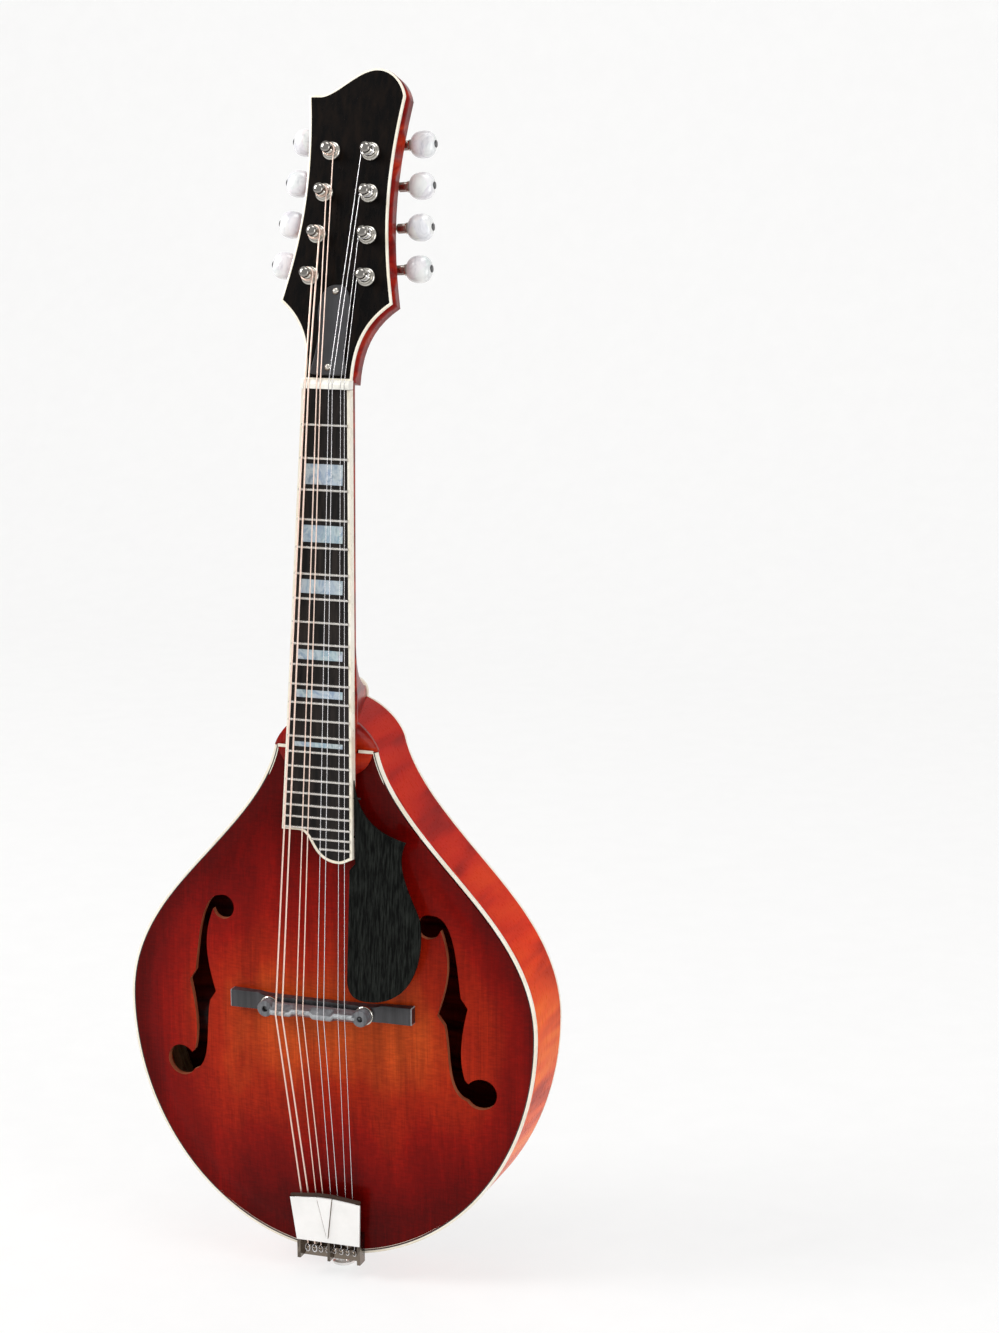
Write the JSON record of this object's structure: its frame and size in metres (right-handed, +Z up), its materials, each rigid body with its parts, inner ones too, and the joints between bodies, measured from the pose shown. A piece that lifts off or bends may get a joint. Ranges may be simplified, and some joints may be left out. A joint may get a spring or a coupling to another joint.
{
  "type": "mandolin",
  "caption": "Teardrop-bodied mandolin with an arched top and back, f-holes, geared tuners, a height-adjustable bridge and a bound, leaned-back head.",
  "frame": {"origin": "the point where a two-armed hanger holds the head: on the centre line, at half the depth of the head, 12 mm above the nut", "axes": "+Z up, along the body towards the head; -Y is the playing face; +X is the treble side"},
  "size_m": [0.252, 0.1097, 0.6956],
  "materials": {
    "spruce_sunburst": "gloss lacquer",
    "maple_red": "gloss lacquer",
    "bare_wood": "unfinished",
    "ebony": "satin",
    "ivory_plastic": "gloss",
    "bone": "polished",
    "nickel": "polished",
    "fret_wire": "polished",
    "steel": "plain",
    "brass": "plain",
    "pearl": "polished shell",
    "black_plastic": "gloss",
    "button_pearl": "pearl gloss",
    "bronze_wound": "wound string",
    "string_steel": "plain string"
  },
  "bodies": {
    "root": {"soundboard": "spruce_sunburst", "back_plate": "maple_red", "rim": "maple_red", "top_binding": "ivory_plastic", "back_binding": "ivory_plastic", "linings": "bare_wood", "neck_block": "bare_wood", "end_block": "bare_wood", "tone_bars": "bare_wood", "neck": "maple_red", "headplate": "ebony", "head_binding": "ivory_plastic", "fingerboard": "ebony", "fingerboard_binding": "ivory_plastic", "fingerboard_riser": "maple_red", "frets": "fret_wire", "position_blocks": "pearl", "nut": "bone", "truss_rod": "steel", "truss_rod_cover": "black_plastic", "bridge_base": "ebony", "bridge_studs": "nickel", "tailpiece": "nickel", "strap_button": "nickel", "pickguard": "ebony", "pickguard_mounting": "ebony", "tuner_plate_bass": "nickel", "tuner_plate_treble": "nickel", "tuner_bushings": "nickel", "wood_screws": "nickel", "strings_wound": "bronze_wound", "strings_plain": "string_steel"},
    "key_1": {"tuner_button_1": "button_pearl", "tuner_worm_1": "nickel"},
    "post_1": {"tuner_post_1": "nickel"},
    "key_2": {"tuner_button_2": "button_pearl", "tuner_worm_2": "nickel"},
    "post_2": {"tuner_post_2": "nickel"},
    "key_3": {"tuner_button_3": "button_pearl", "tuner_worm_3": "nickel"},
    "post_3": {"tuner_post_3": "nickel"},
    "key_4": {"tuner_button_4": "button_pearl", "tuner_worm_4": "nickel"},
    "post_4": {"tuner_post_4": "nickel"},
    "key_5": {"tuner_button_5": "button_pearl", "tuner_worm_5": "nickel"},
    "post_5": {"tuner_post_5": "nickel"},
    "key_6": {"tuner_button_6": "button_pearl", "tuner_worm_6": "nickel"},
    "post_6": {"tuner_post_6": "nickel"},
    "key_7": {"tuner_button_7": "button_pearl", "tuner_worm_7": "nickel"},
    "post_7": {"tuner_post_7": "nickel"},
    "key_8": {"tuner_button_8": "button_pearl", "tuner_worm_8": "nickel"},
    "post_8": {"tuner_post_8": "nickel"},
    "saddle": {"saddle": "ebony"},
    "wheel_bass": {"thumbwheel_bass": "nickel"},
    "wheel_treble": {"thumbwheel_treble": "nickel"},
    "rod_nut": {"truss_rod_nut": "brass"}
  },
  "joints": [
    {"name": "tuner_1_turn", "type": "hinge", "parent": "root", "child": "key_1", "pos_m": [-0.02423, 0.02954, 0.05362], "axis": [-0.9976, 0.0214, 0.0664], "continuous": true},
    {"name": "post_1_turn", "type": "hinge", "parent": "root", "child": "post_1", "pos_m": [-0.0168, 0.00917, 0.05136], "axis": [0, 0.952, -0.3062], "continuous": true},
    {"name": "tuner_2_turn", "type": "hinge", "parent": "root", "child": "key_2", "pos_m": [-0.02257, 0.03682, 0.07626], "axis": [-0.9976, 0.0214, 0.0664], "continuous": true},
    {"name": "post_2_turn", "type": "hinge", "parent": "root", "child": "post_2", "pos_m": [-0.01513, 0.01645, 0.074], "axis": [0, 0.952, -0.3062], "continuous": true},
    {"name": "tuner_3_turn", "type": "hinge", "parent": "root", "child": "key_3", "pos_m": [-0.0209, 0.0441, 0.0989], "axis": [-0.9976, 0.0214, 0.0664], "continuous": true},
    {"name": "post_3_turn", "type": "hinge", "parent": "root", "child": "post_3", "pos_m": [-0.01347, 0.02373, 0.09664], "axis": [0, 0.952, -0.3062], "continuous": true},
    {"name": "tuner_4_turn", "type": "hinge", "parent": "root", "child": "key_4", "pos_m": [-0.01923, 0.05138, 0.12154], "axis": [-0.9976, 0.0214, 0.0664], "continuous": true},
    {"name": "post_4_turn", "type": "hinge", "parent": "root", "child": "post_4", "pos_m": [-0.0118, 0.03101, 0.11928], "axis": [0, 0.952, -0.3062], "continuous": true},
    {"name": "tuner_5_turn", "type": "hinge", "parent": "root", "child": "key_5", "pos_m": [0.02423, 0.02954, 0.05362], "axis": [0.9976, 0.0214, 0.0664], "continuous": true},
    {"name": "post_5_turn", "type": "hinge", "parent": "root", "child": "post_5", "pos_m": [0.0168, 0.00917, 0.05136], "axis": [0, 0.952, -0.3062], "continuous": true},
    {"name": "tuner_6_turn", "type": "hinge", "parent": "root", "child": "key_6", "pos_m": [0.02257, 0.03682, 0.07626], "axis": [0.9976, 0.0214, 0.0664], "continuous": true},
    {"name": "post_6_turn", "type": "hinge", "parent": "root", "child": "post_6", "pos_m": [0.01513, 0.01645, 0.074], "axis": [0, 0.952, -0.3062], "continuous": true},
    {"name": "tuner_7_turn", "type": "hinge", "parent": "root", "child": "key_7", "pos_m": [0.0209, 0.0441, 0.0989], "axis": [0.9976, 0.0214, 0.0664], "continuous": true},
    {"name": "post_7_turn", "type": "hinge", "parent": "root", "child": "post_7", "pos_m": [0.01347, 0.02373, 0.09664], "axis": [0, 0.952, -0.3062], "continuous": true},
    {"name": "tuner_8_turn", "type": "hinge", "parent": "root", "child": "key_8", "pos_m": [0.01923, 0.05138, 0.12154], "axis": [0.9976, 0.0214, 0.0664], "continuous": true},
    {"name": "post_8_turn", "type": "hinge", "parent": "root", "child": "post_8", "pos_m": [0.0118, 0.03101, 0.11928], "axis": [0, 0.952, -0.3062], "continuous": true},
    {"name": "saddle_height", "type": "slide", "parent": "root", "child": "saddle", "axis": [0, -1, 0], "range_m": [-0.0015, 0]},
    {"name": "wheel_bass_turn", "type": "hinge", "parent": "saddle", "child": "wheel_bass", "pos_m": [-0.0292, -0.04043, -0.36209], "axis": [0, -1, 0], "range_deg": [-676, 1]},
    {"name": "wheel_treble_turn", "type": "hinge", "parent": "saddle", "child": "wheel_treble", "pos_m": [0.0292, -0.04043, -0.36209], "axis": [0, -1, 0], "range_deg": [-676, 1]},
    {"name": "rod_nut_turn", "type": "hinge", "parent": "root", "child": "rod_nut", "pos_m": [0, 0.00004, 0.00419], "axis": [0, 0.0929, 0.9957], "range_deg": [-90, 90]}
  ],
  "couplings": [
    {"joint": "post_1_turn", "follows": "tuner_1_turn", "ratio": 0.066667},
    {"joint": "post_2_turn", "follows": "tuner_2_turn", "ratio": 0.066667},
    {"joint": "post_3_turn", "follows": "tuner_3_turn", "ratio": 0.066667},
    {"joint": "post_4_turn", "follows": "tuner_4_turn", "ratio": 0.066667},
    {"joint": "post_5_turn", "follows": "tuner_5_turn", "ratio": -0.066667},
    {"joint": "post_6_turn", "follows": "tuner_6_turn", "ratio": -0.066667},
    {"joint": "post_7_turn", "follows": "tuner_7_turn", "ratio": -0.066667},
    {"joint": "post_8_turn", "follows": "tuner_8_turn", "ratio": -0.066667},
    {"joint": "wheel_bass_turn", "follows": "saddle_height", "rad_per_m": 7854},
    {"joint": "wheel_treble_turn", "follows": "saddle_height", "rad_per_m": 7854}
  ]
}
